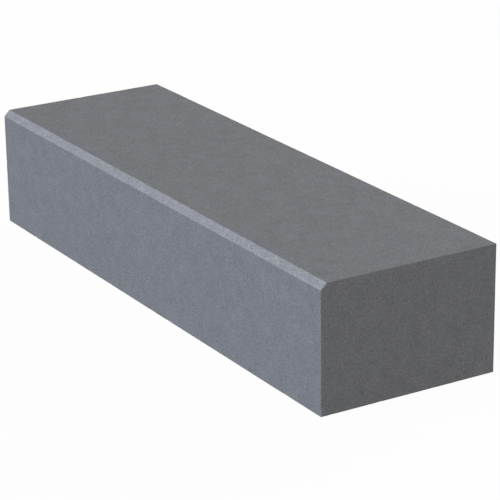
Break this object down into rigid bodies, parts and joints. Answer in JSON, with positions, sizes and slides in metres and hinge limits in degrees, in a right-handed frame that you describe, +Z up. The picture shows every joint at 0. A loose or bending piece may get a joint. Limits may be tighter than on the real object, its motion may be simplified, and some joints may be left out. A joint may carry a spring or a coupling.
{
  "type": "concrete step block",
  "caption": "Solid precast concrete step block with a square section and a small chamfer along the front top edge.",
  "frame": {"origin": "middle of the underside", "axes": "+X along the step, +Y from the riser towards the back, +Z up; the chamfered nosing is at -Y and +Z"},
  "size_m": [1, 0.3, 0.2],
  "materials": {
    "concrete": "matte"
  },
  "bodies": {
    "root": {"step_block": "concrete"}
  },
  "joints": []
}
